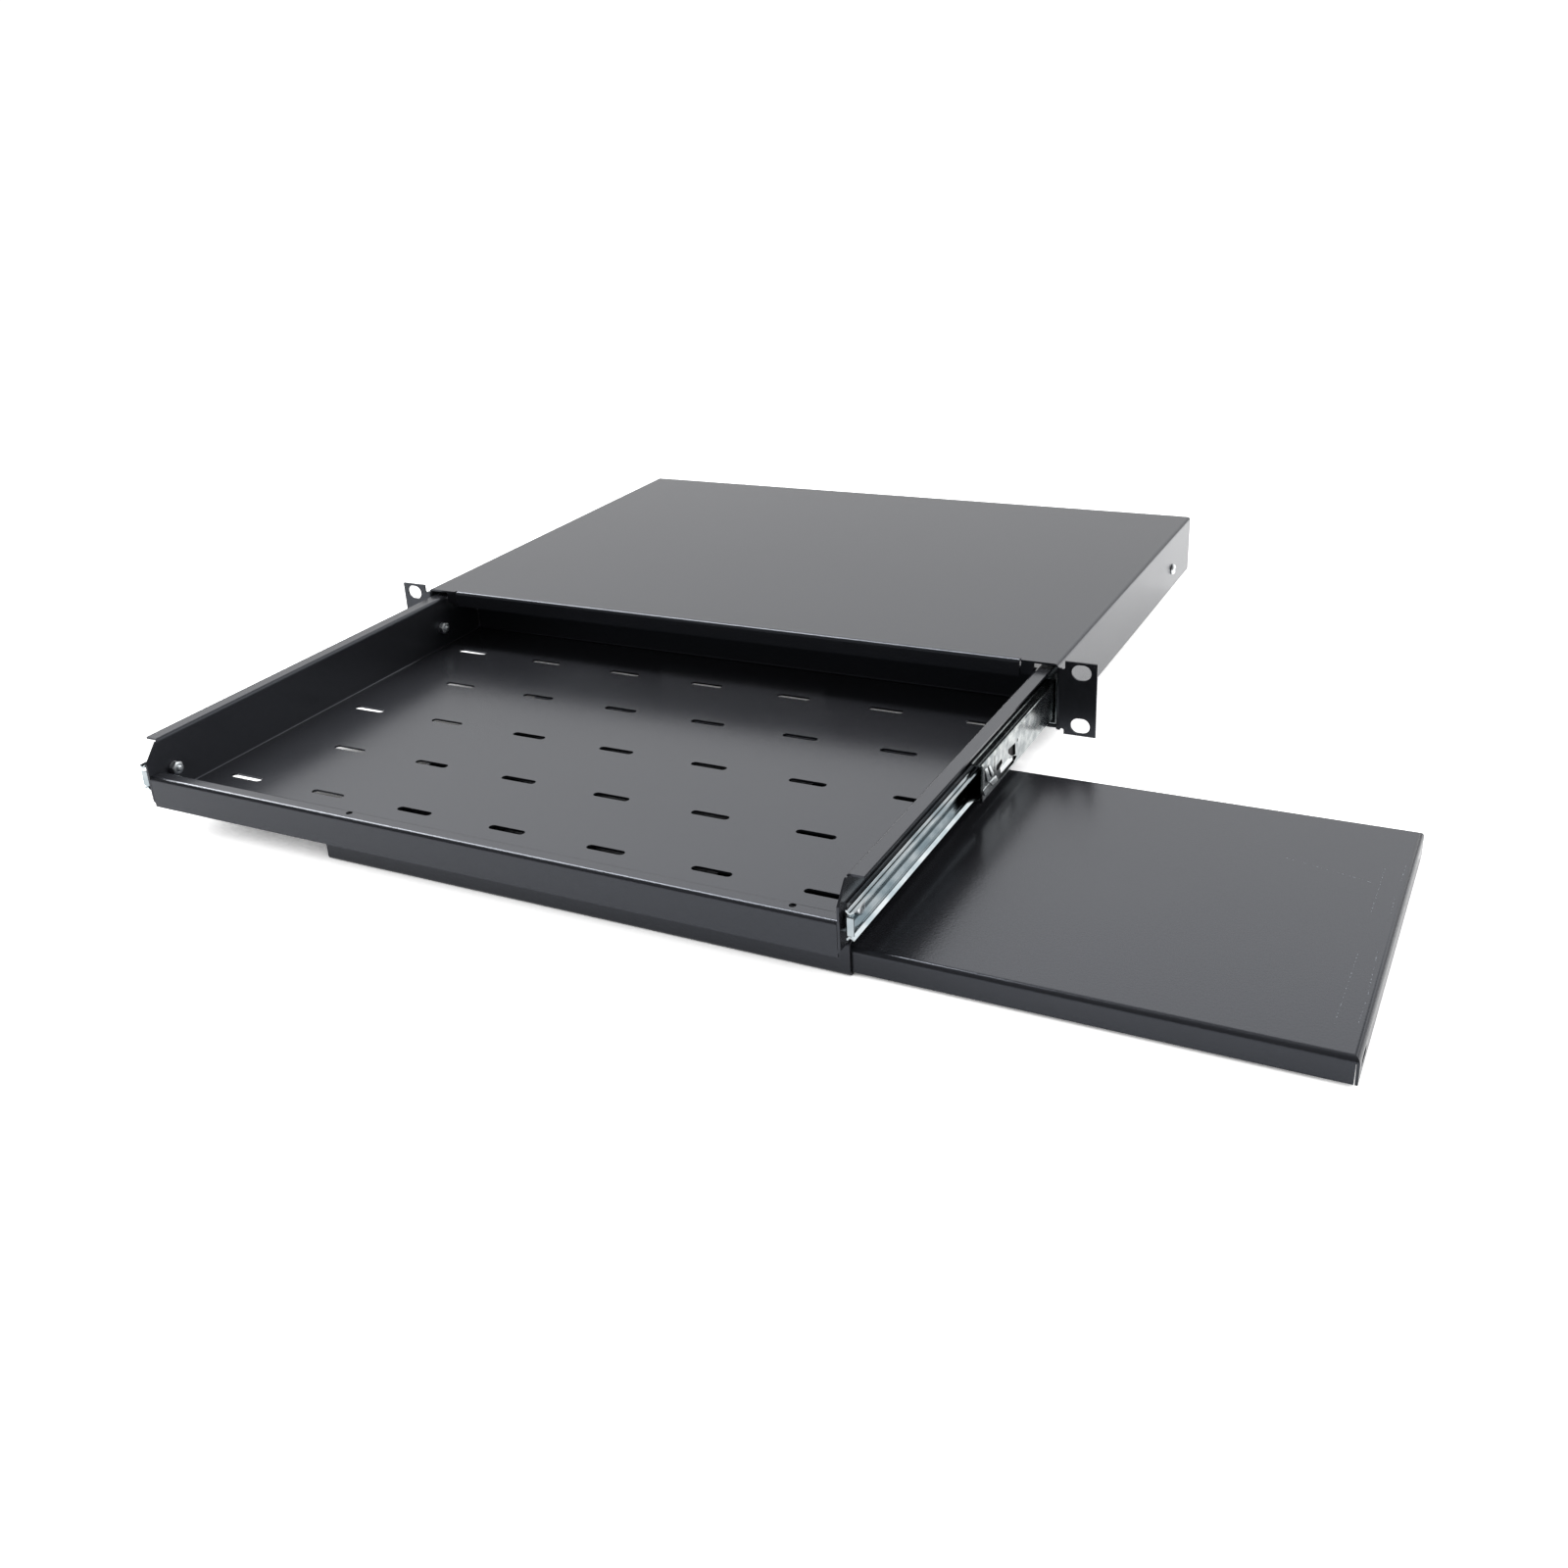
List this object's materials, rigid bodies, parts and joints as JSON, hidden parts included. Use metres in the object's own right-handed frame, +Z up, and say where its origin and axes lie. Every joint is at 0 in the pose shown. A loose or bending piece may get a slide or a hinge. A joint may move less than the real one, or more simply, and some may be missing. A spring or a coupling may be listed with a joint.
{
  "type": "rack keyboard drawer",
  "caption": "Slim rack-mount drawer: slotted keyboard tray on ball-bearing slides, with a mouse tray that pulls out sideways from a sleeve under it.",
  "frame": {"origin": "centre of the front face of the rack ears, at their mid-height", "axes": "+X to the right seen from the front, +Y back into the rack, +Z up"},
  "size_m": [0.6583, 0.5746, 0.0591],
  "materials": {
    "black_powder_coat": "fine satin black powder coat on folded steel sheet",
    "zinc_plate": "bright zinc plating on rolled steel strip",
    "cage_steel": "plain pressed steel strip",
    "ball_steel": "polished bearing balls",
    "screw_zinc": "zinc-plated M4 fasteners",
    "black_rubber": "moulded black rubber",
    "white_nylon": "moulded nylon"
  },
  "bodies": {
    "chassis": {"chassis_shell": "black_powder_coat", "outer_rail_left": "zinc_plate", "outer_rail_right": "zinc_plate", "rail_screws": "screw_zinc", "rail_buffers": "black_rubber"},
    "outer_cage_left": {"outer_cage_left": "cage_steel", "outer_balls_left": "ball_steel"},
    "outer_cage_right": {"outer_cage_right": "cage_steel", "outer_balls_right": "ball_steel"},
    "middle_left": {"middle_rail_left": "zinc_plate"},
    "middle_right": {"middle_rail_right": "zinc_plate"},
    "inner_cage_left": {"inner_cage_left": "cage_steel", "inner_balls_left": "ball_steel"},
    "inner_cage_right": {"inner_cage_right": "cage_steel", "inner_balls_right": "ball_steel"},
    "keyboard_tray": {"keyboard_pan": "black_powder_coat", "inner_rail_left": "zinc_plate", "inner_rail_right": "zinc_plate", "tray_bolts": "screw_zinc", "tray_washers": "screw_zinc", "tray_nuts": "screw_zinc", "mouse_sleeve": "black_powder_coat", "sleeve_glides": "white_nylon", "sleeve_stops": "black_rubber"},
    "mouse_tray": {"mouse_plate": "black_powder_coat"}
  },
  "joints": [
    {"name": "keyboard_tray_slide", "type": "slide", "parent": "chassis", "child": "keyboard_tray", "axis": [0, 1, 0], "range_m": [0, 0.2666]},
    {"name": "outer_cage_left_slide", "type": "slide", "parent": "chassis", "child": "outer_cage_left", "axis": [0, 1, 0], "range_m": [0, 0.06675]},
    {"name": "middle_left_slide", "type": "slide", "parent": "chassis", "child": "middle_left", "axis": [0, 1, 0], "range_m": [0, 0.1334]},
    {"name": "inner_cage_left_slide", "type": "slide", "parent": "chassis", "child": "inner_cage_left", "axis": [0, 1, 0], "range_m": [0, 0.20005]},
    {"name": "outer_cage_right_slide", "type": "slide", "parent": "chassis", "child": "outer_cage_right", "axis": [0, 1, 0], "range_m": [0, 0.06675]},
    {"name": "middle_right_slide", "type": "slide", "parent": "chassis", "child": "middle_right", "axis": [0, 1, 0], "range_m": [0, 0.1334]},
    {"name": "inner_cage_right_slide", "type": "slide", "parent": "chassis", "child": "inner_cage_right", "axis": [0, 1, 0], "range_m": [0, 0.20005]},
    {"name": "mouse_tray_slide", "type": "slide", "parent": "keyboard_tray", "child": "mouse_tray", "axis": [-1, 0, 0], "range_m": [0, 0.21]}
  ],
  "couplings": [
    {"joint": "outer_cage_left_slide", "follows": "keyboard_tray_slide", "ratio": 0.25},
    {"joint": "middle_left_slide", "follows": "keyboard_tray_slide", "ratio": 0.5},
    {"joint": "inner_cage_left_slide", "follows": "keyboard_tray_slide", "ratio": 0.75},
    {"joint": "outer_cage_right_slide", "follows": "keyboard_tray_slide", "ratio": 0.25},
    {"joint": "middle_right_slide", "follows": "keyboard_tray_slide", "ratio": 0.5},
    {"joint": "inner_cage_right_slide", "follows": "keyboard_tray_slide", "ratio": 0.75}
  ]
}
